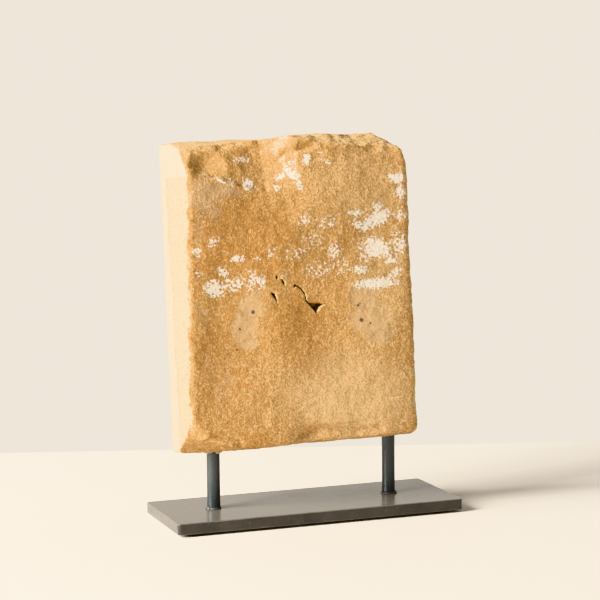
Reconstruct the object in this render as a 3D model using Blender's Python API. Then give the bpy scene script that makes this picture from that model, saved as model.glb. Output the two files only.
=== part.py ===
"""Stone wall niche on a steel stand.

A slab of ochre sandstone, split rough on the side that faces -Y and carved with a plain pointed
niche on the side that faces +Y. Two steel posts stand on a steel plate with four round pads and
enter sockets drilled in the slab's underside. Metres, +Z up, origin on the table, below the
middle of the plate.
"""

import math

import bmesh
import bpy
from mathutils import Vector, noise

# Stand: the plate, its pads and the two posts
PLATE_LENGTH = 0.268
PLATE_DEPTH = 0.100
PLATE_THICKNESS = 0.010
PLATE_CORNER_RADIUS = 0.003
PLATE_ARRIS = 0.0008
PAD_DIAMETER = 0.020
PAD_HEIGHT = 0.0024
PAD_ROUNDING = 0.0006
PAD_INSET_LENGTH = 0.017
PAD_INSET_DEPTH = 0.015
POST_DIAMETER = 0.012
POST_LEFT_X = -0.086
POST_RIGHT_X = 0.082
WELD_WIDTH = 0.0018
WELD_HEIGHT = 0.0022

# Slab: its four upright edges lean a little, so each end has its own place
SLAB_RISE = 0.0535
SLAB_HEIGHT = 0.2752
SLAB_DEPTH = 0.075
SLAB_LEFT = -0.1195
SLAB_WIDTH_BELOW = 0.2155
SLAB_WIDTH_ABOVE = 0.2035
UNDERSIDE_TILT = 0.004
TOP_TILT = 0.002
UNDERSIDE_DROP = 0.012
TOP_DROP = 0.0025
LEFT_SIDE_TURN = 0.0075
LEFT_SIDE_LEAN = 0.0080
RIGHT_SIDE_SPLAY_BELOW = 0.0130
RIGHT_SIDE_SPLAY_ABOVE = 0.0190

# Slab: how strongly its faces are worked
SPLIT_FACE_ROUGHNESS = 0.0023
DRESSED_FACE_ROUGHNESS = 0.0009
DRESSED_STRIP_WIDTH = 0.020
DRESSED_STRIP_STEP = 0.0008
SPALL_DEPTH = 0.016
BULGE_HEIGHT = 0.0035
BED_STEP = 0.0020
TOP_STEP = 0.0030
TOP_CORNER_SAG = 0.0050
BREAK_ROUGHNESS = 0.0012
EDGE_WEAR = 0.0022

# Niche: a sunk panel, and in it the pointed recess that holds a lamp or a small figure
PANEL_WIDTH = 0.146
PANEL_HEIGHT = 0.206
PANEL_SINK = 0.0045
PANEL_CENTRE_X = -0.006
NICHE_WIDTH = 0.104
NICHE_HEIGHT = 0.162
NICHE_DEPTH = 0.046
NICHE_TAPER = 0.006
NICHE_ARCH_RISE = 0.062
SILL_HEIGHT = 0.030
ARRIS_WIDTH = 0.005

# Sockets in the underside, and the resin that fills their mouths
SOCKET_DEPTH = 0.038
SOCKET_CLEARANCE = 0.0005
RESIN_WIDTH = 0.0030
RESIN_SEAT = 0.006
RESIN_PROUD = 0.0022

# Meshes that touch keep this gap
TOUCH_GAP = 0.0003

# Fineness of the slab's mesh and of the round pieces
CELLS_ACROSS = 30
CELLS_DEEP = 7
CELLS_UP = 38
ROUND_SIDES = 32
WELD_SIDES = 20
BREAK_CELLS = 12
ARCH_STEPS = 7

# Heights and depths that follow from the sizes above
PLATE_TOP = PAD_HEIGHT + PLATE_THICKNESS
UNDERSIDE = PLATE_TOP + SLAB_RISE
SLAB_HEAD = UNDERSIDE + SLAB_HEIGHT
FRONT_Y = -SLAB_DEPTH / 2
BACK_Y = SLAB_DEPTH / 2
SILL_Z = UNDERSIDE + SILL_HEIGHT
POST_RADIUS = POST_DIAMETER / 2
SOCKET_RADIUS = POST_RADIUS + SOCKET_CLEARANCE
RESIN_RADIUS = SOCKET_RADIUS + RESIN_WIDTH
SOCKET_END = UNDERSIDE + SOCKET_DEPTH

# Upright edges of the slab as (x and z at the foot, x and z at the head), before any wear
SLAB_EDGES = {
    ("left", "front"): (SLAB_LEFT, UNDERSIDE + UNDERSIDE_DROP / 2 - UNDERSIDE_TILT / 2,
                        SLAB_LEFT, SLAB_HEAD - TOP_TILT / 2),
    ("right", "front"): (SLAB_LEFT + SLAB_WIDTH_BELOW, UNDERSIDE + UNDERSIDE_DROP / 2 + UNDERSIDE_TILT / 2,
                         SLAB_LEFT + SLAB_WIDTH_ABOVE, SLAB_HEAD + TOP_TILT / 2),
    ("left", "back"): (SLAB_LEFT + LEFT_SIDE_TURN, UNDERSIDE - UNDERSIDE_DROP / 2 - UNDERSIDE_TILT / 2,
                       SLAB_LEFT + LEFT_SIDE_TURN - LEFT_SIDE_LEAN, SLAB_HEAD - TOP_DROP - TOP_TILT / 2),
    ("right", "back"): (SLAB_LEFT + SLAB_WIDTH_BELOW + RIGHT_SIDE_SPLAY_BELOW,
                        UNDERSIDE - UNDERSIDE_DROP / 2 + UNDERSIDE_TILT / 2,
                        SLAB_LEFT + SLAB_WIDTH_ABOVE + RIGHT_SIDE_SPLAY_ABOVE,
                        SLAB_HEAD - TOP_DROP + TOP_TILT / 2),
}

# Broken corners and arrises: a place on the slab in shares (across, deep, up), the way out, and
# how far the break reaches from there
BREAKS = {
    "break_top_right_upper": ((0.915, 0.50, 0.984), (0.47, -0.08, 0.88), 0.070),
    "break_top_right_middle": ((0.960, 0.50, 0.962), (0.60, -0.13, 0.79), 0.070),
    "break_top_right_lower": ((0.985, 0.50, 0.930), (0.94, -0.22, 0.32), 0.070),
    "break_top_arris": ((0.780, 0.00, 0.968), (0.10, -0.42, 0.91), 0.070),
    "break_top_left_corner": ((0.005, 0.00, 0.908), (-0.32, -0.69, 0.65), 0.060),
    "break_bottom_left_upper": ((0.005, 0.00, 0.099), (-0.35, -0.80, -0.48), 0.045),
    "break_bottom_left_lower": ((0.077, 0.03, 0.043), (-0.30, -0.45, -0.84), 0.045),
    "break_bottom_right": ((0.988, 0.00, 0.008), (0.62, -0.30, -0.72), 0.020),
}

# Holes in the split face: outline in metres from the middle of that face, and depth
HOLES = {
    "hole_round": (((-0.0236, 0.0142), (-0.0225, 0.0159), (-0.0215, 0.0141), (-0.0226, 0.0123)), 0.009),
    "hole_crescent": (((-0.0190, 0.0122), (-0.0166, 0.0112), (-0.0152, 0.0089), (-0.0156, 0.0062),
                       (-0.0168, 0.0087)), 0.009),
    "hole_cap": (((-0.0072, 0.0045), (-0.0067, 0.0063), (-0.0052, 0.0069), (-0.0024, 0.0044),
                  (-0.0048, 0.0051)), 0.010),
    "hole_wedge": (((0.0073, -0.0100), (0.0218, -0.0114), (0.0142, -0.0188)), 0.011),
    "hole_slit": (((-0.0277, 0.0003), (-0.0239, -0.0010), (-0.0218, -0.0094)), 0.009),
}
HOLE_TAPER = 0.40


def clear_scene():
    """Remove whatever the file holds."""
    for thing in list(bpy.data.objects):
        bpy.data.objects.remove(thing, do_unlink=True)


def paint(thing, colour, roughness, metallic=0.0):
    """Give one object its own plain material."""
    material = bpy.data.materials.new(thing.name + "_finish")
    material.use_nodes = True
    shader = material.node_tree.nodes["Principled BSDF"]
    shader.inputs["Base Color"].default_value = (*colour, 1.0)
    shader.inputs["Roughness"].default_value = roughness
    shader.inputs["Metallic"].default_value = metallic
    thing.data.materials.clear()
    thing.data.materials.append(material)


def add_object(name, mesh_builder, smooth_angle=None):
    """Turn a finished bmesh into a named object."""
    bmesh.ops.recalc_face_normals(mesh_builder, faces=mesh_builder.faces)
    mesh = bpy.data.meshes.new(name)
    mesh_builder.to_mesh(mesh)
    mesh_builder.free()
    if smooth_angle is not None:
        mesh.shade_smooth()
        mesh.set_sharp_from_angle(angle=math.radians(smooth_angle))
    thing = bpy.data.objects.new(name, mesh)
    bpy.context.scene.collection.objects.link(thing)
    return thing


def add_cutter(name, mesh_builder):
    """A shape that is only taken away from another."""
    cutter = add_object(name, mesh_builder)
    cutter.hide_render = True
    cutter.display_type = "WIRE"
    return cutter


def cut(thing, cutter):
    """Take the cutter's shape out of an object."""
    modifier = thing.modifiers.new("cut_" + cutter.name, "BOOLEAN")
    modifier.operation = "DIFFERENCE"
    modifier.solver = "EXACT"
    modifier.object = cutter


def turned(profile, centre, sides, ripple=0.0, seed=0.0):
    """Turn a closed (radius, z) profile about a vertical axis through centre.

    A radius of zero at both ends of the profile closes a solid piece. Ripple makes the outer
    radius uneven round the turn, as in a weld bead or a bead of resin.
    """
    builder = bmesh.new()
    solid = profile[0][0] == 0.0
    rings = []
    inner = min(radius for radius, _ in profile)
    for radius, height in profile:
        if radius == 0.0:
            rings.append([builder.verts.new((centre[0], centre[1], height))])
            continue
        ring = []
        for step in range(sides):
            angle = 2 * math.pi * step / sides
            sway = noise.noise(Vector((2.2 * math.cos(angle), 2.2 * math.sin(angle), seed)))
            reach = radius + ripple * sway * (radius > inner + 1e-6)
            ring.append(builder.verts.new((centre[0] + reach * math.cos(angle),
                                           centre[1] + reach * math.sin(angle), height)))
        rings.append(ring)
    pairs = list(zip(rings, rings[1:])) if solid else list(zip(rings, rings[1:] + rings[:1]))
    for lower, upper in pairs:
        for step in range(sides):
            after = (step + 1) % sides
            corners = [lower[step % len(lower)], lower[after % len(lower)],
                       upper[after % len(upper)], upper[step % len(upper)]]
            builder.faces.new(list(dict.fromkeys(corners)))
    return builder


def rounded_plate(length, depth, bottom, thickness, radius, arris):
    """A flat plate with round corners and a small bevel round both faces."""
    builder = bmesh.new()
    outline = []
    for quarter in range(4):
        middle_x = (length / 2 - radius) * (1 if quarter in (0, 3) else -1)
        middle_y = (depth / 2 - radius) * (1 if quarter in (0, 1) else -1)
        for step in range(5):
            angle = math.pi / 2 * (quarter + step / 4)
            outline.append((middle_x, middle_y, math.cos(angle), math.sin(angle)))
    levels = ((bottom, arris), (bottom + arris, 0.0),
              (bottom + thickness - arris, 0.0), (bottom + thickness, arris))
    rings = []
    for height, inset in levels:
        reach = radius - inset
        rings.append([builder.verts.new((x + reach * turn_x, y + reach * turn_y, height))
                      for x, y, turn_x, turn_y in outline])
    for lower, upper in zip(rings, rings[1:]):
        for step in range(len(outline)):
            after = (step + 1) % len(outline)
            builder.faces.new((lower[step], lower[after], upper[after], upper[step]))
    builder.faces.new(list(reversed(rings[0])))
    builder.faces.new(rings[-1])
    return builder


def even_steps(count, crowding):
    """Shares from 0 to 1 that lie closer together near both ends."""
    return [step / count - crowding * math.sin(2 * math.pi * step / count) / (2 * math.pi)
            for step in range(count + 1)]


def ease(share):
    """A smooth step from 0 to 1."""
    share = min(max(share, 0.0), 1.0)
    return share * share * (3 - 2 * share)


def mix(low, high, share):
    """Straight blend of two numbers."""
    return low + (high - low) * share


def rough(place, wavelength, seed):
    """Fractal unevenness, about -1 to 1, with the given longest wavelength."""
    spot = Vector(place) / wavelength + Vector((seed, seed * 0.7, -seed))
    return noise.noise(spot) + 0.5 * noise.noise(spot * 2.1) + 0.3 * noise.noise(spot * 4.3)


def slab_place(across, deep, up):
    """A place inside the plain slab, from three shares."""
    ends = []
    for face in ("front", "back"):
        left = SLAB_EDGES[("left", face)]
        right = SLAB_EDGES[("right", face)]
        left_x, left_z = mix(left[0], left[2], up), mix(left[1], left[3], up)
        right_x, right_z = mix(right[0], right[2], up), mix(right[1], right[3], up)
        ends.append((mix(left_x, right_x, across), mix(left_z, right_z, across)))
    return Vector((mix(ends[0][0], ends[1][0], deep), mix(FRONT_Y, BACK_Y, deep),
                   mix(ends[0][1], ends[1][1], deep)))


def mound(across, up, centre, reach):
    """A round swelling: 1 at its centre and 0 at its reach, in shares of the face."""
    distance = math.hypot((across - centre[0]) / reach[0], (up - centre[1]) / reach[1])
    return ease(1.0 - distance)


def split_face_relief(across, up, place):
    """How far the split face stands back from its plane."""
    relief = SPLIT_FACE_ROUGHNESS * rough((place.x, 0, place.z), 0.070, 3.1)
    lower_line = mix(0.915, 0.835, across / 0.30)
    run = ease((0.52 - across) / 0.20)
    relief += SPALL_DEPTH * run * ease((up - lower_line) / 0.14)
    relief += 0.4 * SPALL_DEPTH * mound(across, up, (0.10, 0.935), (0.10, 0.06))
    relief -= BULGE_HEIGHT * mound(across, up, (0.70, 0.84), (0.36, 0.20))
    relief += BULGE_HEIGHT * mound(across, up, (0.22, 0.40), (0.26, 0.30))
    ledge = mix(0.058, 0.050, across)
    bed_run = ease((across - 0.42) / 0.08) * ease((0.84 - across) / 0.16)
    relief += BED_STEP * ease((ledge - up) / 0.014) * bed_run
    relief += 2 * BED_STEP * mound(across, up, (0.52, 0.02), (0.09, 0.06))
    return relief


def dressed_relief(place, deep, seed):
    """How far a dressed side stands out: a smooth strip by the carved face, rough beyond it."""
    beyond = ease(((1 - deep) * SLAB_DEPTH - DRESSED_STRIP_WIDTH) / 0.004)
    uneven = DRESSED_FACE_ROUGHNESS * rough(place, 0.035, seed)
    return beyond * (DRESSED_STRIP_STEP + uneven) + 0.25 * (1 - beyond) * uneven


def crest_drop(across, deep, up):
    """How far the slab's head lies below its plain top: a low left half, lowest at its corner."""
    low_half = TOP_STEP * ease((0.455 + 0.085 * deep - across) / 0.04)
    low_corner = TOP_CORNER_SAG * ease((0.32 - across) / 0.32) * ease((0.62 - deep) / 0.62)
    return (low_half + low_corner) * max(0.0, (up - 0.8) / 0.2)


def slab_surface(across, deep, up):
    """A place on the slab's skin, with its relief and worn arrises."""
    place = slab_place(across, deep, up)
    plain = place.copy()
    place.z -= crest_drop(across, deep, up)
    place.y += split_face_relief(across, up, slab_place(across, 0.0, up)) * (1.0 - deep)
    if across == 0.0:
        place.x -= dressed_relief(plain, deep, 11.0)
    if across == 1.0:
        place.x += 1.5 * dressed_relief(plain, deep, 17.0)
    if up == 1.0:
        place.z += 1.6 * dressed_relief(plain, deep, 23.0)
    if up == 0.0:
        place.z -= dressed_relief(plain, deep, 29.0)
    sides = (across in (0.0, 1.0)) + (deep in (0.0, 1.0)) + (up in (0.0, 1.0))
    if sides > 1:
        wear = EDGE_WEAR * (0.4 + 0.7 * abs(rough(plain, 0.030, 41.0))) * (0.35 if deep == 1.0 else 1.0)
        middle = slab_place(0.5, 0.5, 0.5)
        inward = Vector((math.copysign(across in (0.0, 1.0), middle.x - plain.x),
                         (deep == 0.0) * 1.0,
                         math.copysign(up in (0.0, 1.0), middle.z - plain.z)))
        place += inward * wear
    if deep == 1.0:
        place.y = BACK_Y
    return place


def build_slab():
    """The slab as one closed skin over a lattice of shares, flat on its carved face."""
    builder = bmesh.new()
    steps = (even_steps(CELLS_ACROSS, 0.45), even_steps(CELLS_DEEP, 0.0), even_steps(CELLS_UP, 0.45))
    counts = (CELLS_ACROSS, CELLS_DEEP, CELLS_UP)
    skin = {}

    def corner(*index):
        if index not in skin:
            shares = [min(max(steps[axis][index[axis]], 0.0), 1.0) for axis in range(3)]
            for axis in range(3):
                if index[axis] in (0, counts[axis]):
                    shares[axis] = float(index[axis] > 0)
            skin[index] = builder.verts.new(slab_surface(*shares))
        return skin[index]

    for fixed in range(3):
        first, second = [axis for axis in range(3) if axis != fixed]
        for end in (0, counts[fixed]):
            for i in range(counts[first]):
                for j in range(counts[second]):
                    corners = []
                    for step_i, step_j in ((0, 0), (1, 0), (1, 1), (0, 1)):
                        index = [0, 0, 0]
                        index[fixed] = end
                        index[first] = i + step_i
                        index[second] = j + step_j
                        corners.append(corner(*index))
                    builder.faces.new(corners)
    carved = [edge for edge in builder.edges
              if all(abs(vert.co.y - BACK_Y) < 1e-7 for vert in edge.verts)
              and all(abs(face.calc_center_median().y - BACK_Y) < 1e-7 for face in edge.link_faces)]
    bmesh.ops.dissolve_edges(builder, edges=carved, use_verts=True)
    bmesh.ops.triangulate(builder, faces=[face for face in builder.faces if len(face.verts) == 4])
    return add_object("niche_stone", builder)


def broken_off(spot, outward, reach, seed):
    """A block that lies beyond a broken place, with the uneven skin of the break."""
    builder = bmesh.new()
    normal = Vector(outward).normalized()
    along = normal.orthogonal().normalized()
    across = normal.cross(along)
    grids = []
    for lift in (0.0, reach):
        rows = []
        for i in range(BREAK_CELLS + 1):
            row = []
            for j in range(BREAK_CELLS + 1):
                place = spot + normal * lift
                place += along * reach * (2 * i / BREAK_CELLS - 1)
                place += across * reach * (2 * j / BREAK_CELLS - 1)
                if lift == 0.0:
                    place += normal * BREAK_ROUGHNESS * rough(place, 0.024, seed)
                row.append(builder.verts.new(place))
            rows.append(row)
        grids.append(rows)
        for i in range(BREAK_CELLS):
            for j in range(BREAK_CELLS):
                builder.faces.new((rows[i][j], rows[i + 1][j], rows[i + 1][j + 1], rows[i][j + 1]))
    near, far = grids
    last = BREAK_CELLS
    for step in range(BREAK_CELLS):
        for i, j, next_i, next_j in ((step, 0, step + 1, 0), (step, last, step + 1, last),
                                     (0, step, 0, step + 1), (last, step, last, step + 1)):
            builder.faces.new((near[i][j], near[next_i][next_j], far[next_i][next_j], far[i][j]))
    return builder


def break_edges(slab):
    """Take off the corners and arrises that are broken."""
    for number, (name, (spot, outward, reach)) in enumerate(BREAKS.items()):
        cut(slab, add_cutter(name, broken_off(slab_place(*spot), outward, reach, 50.0 + number)))


def prism(outline_near, outline_far, near_y, far_y):
    """A closed solid between two outlines of (x, z) at two depths."""
    builder = bmesh.new()
    near = [builder.verts.new((x, near_y, z)) for x, z in outline_near]
    far = [builder.verts.new((x, far_y, z)) for x, z in outline_far]
    builder.faces.new(near)
    builder.faces.new(far)
    for step in range(len(near)):
        after = (step + 1) % len(near)
        builder.faces.new((near[step], near[after], far[after], far[step]))
    return builder


def arch_outline(width, height, rise):
    """A pointed arch on two upright jambs, standing on the sill."""
    spring = height - rise
    half = width / 2
    radius = (half * half + rise * rise) / (2 * half)
    reach = math.atan2(rise, radius - half)
    points = [(half, 0.0)]
    for step in range(ARCH_STEPS):
        angle = reach * step / ARCH_STEPS
        points.append((half - radius + radius * math.cos(angle), spring + radius * math.sin(angle)))
    points.append((0.0, height))
    mirrored = [(-x, z) for x, z in reversed(points[:-1])]
    return [(PANEL_CENTRE_X + x, SILL_Z + z) for x, z in points + mirrored]


def carve_niche(slab):
    """The sunk panel, the bevel round the arch and the recess itself."""
    half = PANEL_WIDTH / 2
    panel = [(PANEL_CENTRE_X + x, SILL_Z + z) for x, z in
             ((-half, 0.0), (half, 0.0), (half, PANEL_HEIGHT), (-half, PANEL_HEIGHT))]
    beyond = BACK_Y + NICHE_DEPTH
    panel_y = BACK_Y - PANEL_SINK
    cut(slab, add_cutter("cutter_panel", prism(panel, panel, panel_y, beyond)))

    opening = arch_outline(NICHE_WIDTH, NICHE_HEIGHT, NICHE_ARCH_RISE)
    flare = arch_outline(NICHE_WIDTH + 2 * ARRIS_WIDTH, NICHE_HEIGHT + ARRIS_WIDTH,
                         NICHE_ARCH_RISE + ARRIS_WIDTH / 2)
    cut(slab, add_cutter("cutter_arris", prism(opening, flare, panel_y - ARRIS_WIDTH, panel_y + TOUCH_GAP)))

    inner = arch_outline(NICHE_WIDTH - 2 * NICHE_TAPER, NICHE_HEIGHT - NICHE_TAPER,
                         NICHE_ARCH_RISE)
    cut(slab, add_cutter("cutter_recess", prism(inner, opening, BACK_Y - NICHE_DEPTH, panel_y)))


def pierce_holes(slab):
    """The small blind holes where the split face has broken above the recess."""
    middle = slab_place(0.5, 0.0, 0.5)
    for name, (outline, depth) in HOLES.items():
        centre_x = sum(x for x, _ in outline) / len(outline)
        centre_z = sum(z for _, z in outline) / len(outline)
        ends = []
        for scale in (1 + HOLE_TAPER, 1 - HOLE_TAPER):
            ends.append([(middle.x + mix(centre_x, x, scale), middle.z + mix(centre_z, z, scale))
                         for x, z in outline])
        cut(slab, add_cutter(name, prism(ends[0], ends[1], FRONT_Y - depth, FRONT_Y + depth)))


def underside_at(x):
    """Height of the slab's underside above the table, halfway through the slab."""
    share = (x - SLAB_LEFT) / SLAB_WIDTH_BELOW
    return UNDERSIDE + UNDERSIDE_TILT * (share - 0.5)


def drill_socket(slab, x, side):
    """A socket for a post, with a wider mouth for the resin."""
    below = PLATE_TOP + TOUCH_GAP
    mouth = underside_at(x) + RESIN_SEAT
    profile = ((0.0, below), (RESIN_RADIUS, below), (RESIN_RADIUS, mouth), (SOCKET_RADIUS, mouth),
               (SOCKET_RADIUS, SOCKET_END), (0.0, SOCKET_END))
    cut(slab, add_cutter("cutter_socket_" + side, turned(profile, (x, 0.0), ROUND_SIDES)))


def build_post(x, side):
    """A round bar from the plate to the end of its socket."""
    foot = PLATE_TOP + TOUCH_GAP
    head = SOCKET_END - TOUCH_GAP
    profile = ((0.0, foot), (POST_RADIUS, foot), (POST_RADIUS, head), (0.0, head))
    post = add_object("post_" + side, turned(profile, (x, 0.0), ROUND_SIDES), 40)
    paint(post, (0.045, 0.052, 0.054), 0.42, 0.6)


def build_weld(x, side, seed):
    """The bead that joins a post to the plate."""
    inner = POST_RADIUS + TOUCH_GAP
    foot = PLATE_TOP + TOUCH_GAP
    profile = ((inner, foot), (inner + WELD_WIDTH, foot), (inner + 0.85 * WELD_WIDTH, foot + 0.35 * WELD_HEIGHT),
               (inner + 0.35 * WELD_WIDTH, foot + 0.85 * WELD_HEIGHT), (inner, foot + WELD_HEIGHT))
    weld = add_object("weld_" + side, turned(profile, (x, 0.0), WELD_SIDES, 0.3 * WELD_WIDTH, seed), 50)
    paint(weld, (0.040, 0.045, 0.047), 0.5, 0.6)


def build_resin(x, side):
    """The ring of resin that fills a socket's mouth and hangs a little below the stone."""
    inner = POST_RADIUS + TOUCH_GAP
    outer = RESIN_RADIUS - TOUCH_GAP
    head = underside_at(x) + RESIN_SEAT - TOUCH_GAP
    foot = underside_at(x) - RESIN_PROUD
    profile = ((inner, foot), (mix(inner, outer, 0.75), foot), (outer, foot + 0.4 * RESIN_PROUD),
               (outer, head), (inner, head))
    resin = add_object("resin_" + side, turned(profile, (x, 0.0), ROUND_SIDES), 50)
    paint(resin, (0.56, 0.46, 0.30), 0.55)


def build_pad(x, y, name):
    """A round pad under the plate."""
    radius = PAD_DIAMETER / 2
    head = PAD_HEIGHT - TOUCH_GAP
    profile = ((0.0, 0.0), (radius - PAD_ROUNDING, 0.0), (radius, PAD_ROUNDING), (radius, head), (0.0, head))
    pad = add_object(name, turned(profile, (x, y), ROUND_SIDES), 40)
    paint(pad, (0.020, 0.019, 0.018), 0.85)


def build_stand():
    """Plate, pads, posts and weld beads."""
    plate = add_object("base_plate", rounded_plate(PLATE_LENGTH, PLATE_DEPTH, PAD_HEIGHT, PLATE_THICKNESS,
                                                   PLATE_CORNER_RADIUS, PLATE_ARRIS), 30)
    paint(plate, (0.075, 0.072, 0.068), 0.32, 0.5)
    for end, sign_x in (("left", -1), ("right", 1)):
        for face, sign_y in (("front", -1), ("back", 1)):
            build_pad(sign_x * (PLATE_LENGTH / 2 - PAD_INSET_LENGTH),
                      sign_y * (PLATE_DEPTH / 2 - PAD_INSET_DEPTH), "pad_" + end + "_" + face)
    build_post(POST_LEFT_X, "left")
    build_post(POST_RIGHT_X, "right")
    build_weld(POST_LEFT_X, "left", 1.7)
    build_weld(POST_RIGHT_X, "right", 5.2)


def main():
    clear_scene()
    slab = build_slab()
    paint(slab, (0.60, 0.36, 0.13), 0.9)
    break_edges(slab)
    carve_niche(slab)
    pierce_holes(slab)
    for x, side in ((POST_LEFT_X, "left"), (POST_RIGHT_X, "right")):
        drill_socket(slab, x, side)
        build_resin(x, side)
    build_stand()


main()
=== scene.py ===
"""Looks of a stone wall niche on a steel stand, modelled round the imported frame.

The slab of ochre sandstone shows its rough split side to the camera, and the niche is carved in its
far side. Lengths are metres, +Z is up, and the stand's pads rest on z = 0.
"""

import math

import bmesh
import bpy
import numpy as np
from bpy.props import FloatProperty, FloatVectorProperty, IntProperty, PointerProperty
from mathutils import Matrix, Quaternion, Vector


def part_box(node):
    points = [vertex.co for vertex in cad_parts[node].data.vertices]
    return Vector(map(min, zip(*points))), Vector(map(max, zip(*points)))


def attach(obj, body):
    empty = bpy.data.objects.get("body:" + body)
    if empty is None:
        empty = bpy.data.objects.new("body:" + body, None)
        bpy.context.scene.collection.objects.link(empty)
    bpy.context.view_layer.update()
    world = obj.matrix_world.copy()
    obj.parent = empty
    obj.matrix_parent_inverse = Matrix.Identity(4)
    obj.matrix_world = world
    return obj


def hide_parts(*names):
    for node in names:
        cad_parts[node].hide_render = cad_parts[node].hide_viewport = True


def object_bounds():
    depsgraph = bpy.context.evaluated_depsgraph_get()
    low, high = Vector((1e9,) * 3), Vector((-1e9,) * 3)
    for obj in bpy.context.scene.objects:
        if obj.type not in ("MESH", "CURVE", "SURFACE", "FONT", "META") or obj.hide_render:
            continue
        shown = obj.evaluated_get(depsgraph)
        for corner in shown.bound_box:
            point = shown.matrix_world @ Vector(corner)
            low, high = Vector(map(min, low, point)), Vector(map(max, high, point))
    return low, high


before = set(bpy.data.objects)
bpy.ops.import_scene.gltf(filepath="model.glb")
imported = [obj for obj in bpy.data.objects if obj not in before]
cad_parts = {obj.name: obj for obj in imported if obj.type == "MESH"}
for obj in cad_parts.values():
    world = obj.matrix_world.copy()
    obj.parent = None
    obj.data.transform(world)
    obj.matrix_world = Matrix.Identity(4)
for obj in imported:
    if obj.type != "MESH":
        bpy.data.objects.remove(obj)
CAD_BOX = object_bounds()

bl_info = {
    "name": "Stone wall niche",
    "version": (1, 0, 0),
    "blender": (4, 5, 0),
    "location": "View3D > Sidebar > Niche",
    "description": "Models a carved sandstone slab on its steel stand",
    "category": "Add Mesh",
}

MM = 0.001

# Places that the frame gives
STONE_LOW, STONE_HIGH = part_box("niche_stone")
PLATE_LOW, PLATE_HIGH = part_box("base_plate")
PLATE_TOP = PLATE_HIGH.z
CARVED_Y = STONE_HIGH.y

# Sockets of the Mix node when it mixes colours
MIX_A, MIX_B, MIX_OUT = 6, 7, 2

# Weights of a vertex group are stored in this many steps
WEIGHT_STEPS = 20


def linear(hex_colour):
    """An sRGB hex colour as linear red, green, blue and alpha."""
    shares = [int(hex_colour[start:start + 2], 16) / 255 for start in (1, 3, 5)]
    return [share / 12.92 if share <= 0.04045 else ((share + 0.055) / 1.055) ** 2.4
            for share in shares] + [1.0]


def colour_property(name, description, hex_colour):
    """A colour swatch with its default given as sRGB hex."""
    return FloatVectorProperty(name=name, description=description, default=linear(hex_colour),
                               size=4, subtype="COLOR", min=0.0, max=1.0)


def length_property(name, description, default):
    """A length with its default in metres."""
    return FloatProperty(name=name, description=description, default=default, min=0.0,
                         precision=5, unit="LENGTH", subtype="DISTANCE")


class StoneSettings(bpy.types.PropertyGroup):
    """How the slab is worked and coloured."""

    mesh_spacing: length_property("Mesh spacing", "Spacing of the slab's fine mesh", 1.1 * MM)
    face_count: IntProperty(name="Triangles", description="Triangles left after thinning the mesh",
                            default=186000, min=1000)
    chip_size: length_property("Chip size", "Width of the shallow chips on the split side", 9 * MM)
    chip_height: length_property("Chip height", "Relief of the shallow chips", 0.7 * MM)
    grain_size: length_property("Grain size", "Width of the lumps of grains on the split side", 2.8 * MM)
    grain_height: length_property("Grain height", "Relief of the lumps of grains", 0.6 * MM)
    dressed_size: length_property("Dressed mark size", "Width of the marks on the dressed sides", 6 * MM)
    dressed_height: length_property("Dressed mark height", "Relief of the dressed sides", 0.7 * MM)
    carved_height: length_property("Carved mark height", "Relief of the carved side", 0.25 * MM)
    stone: colour_property("Stone", "Sandstone where it is plain", "#B68C58")
    stone_deep: colour_property("Deep stone", "Sandstone in its darker beds", "#996E3E")
    stone_light: colour_property("Light stone", "Sandstone on its paler grains", "#DCBF92")
    # Partly painted shade: grey weathering, also used to paint the shade in the spall recess at the top left
    patina_and_shade: colour_property("Patina", "Grey weathering near the edges", "#AD9173")
    putty: colour_property("Putty", "Pale mortar wiped over the stone", "#BD9F79")
    lime: colour_property("Lime", "Old limewash", "#EAE2D6")
    stain: colour_property("Stain", "Damp stain in the middle", "#9A6A36")
    spot: colour_property("Spots", "Dark blue-black specks", "#41414C")
    # Painted shade: dark brown on the floors of the holes, standing for the shade deep inside them
    hole_floor_shade: colour_property("Hollows", "Dirt deep in the holes", "#5A4831")
    # Partly painted highlight: the sides and the top are painted much paler than the split face, for their
    # dusty dressed finish and for the bright light from the left and from above
    rough_side_and_highlight: colour_property("Rough side", "Dusty hammered part of the dressed sides", "#E8D3A4")
    pale_side_and_highlight: colour_property("Pale side", "Smooth strip beside the carved face", "#EDE1C2")


class StandSettings(bpy.types.PropertyGroup):
    """Sizes and colours of the steel stand."""

    corner_radius: length_property("Corner radius", "Radius of the plate's upright corners", 3 * MM)
    arris: length_property("Arris", "Bevel along the plate's edges", 0.8 * MM)
    steel: colour_property("Blackened steel", "Waxed mill scale on the plate", "#2A2826")
    post_steel: colour_property("Post steel", "Blackened round bar", "#40484D")
    weld_steel: colour_property("Weld steel", "Blackened weld beads", "#45484A")
    resin: colour_property("Resin", "Sand-coloured resin in the sockets", "#C9B58C")
    rubber: colour_property("Rubber", "Black rubber pads", "#1D1B19")


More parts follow.
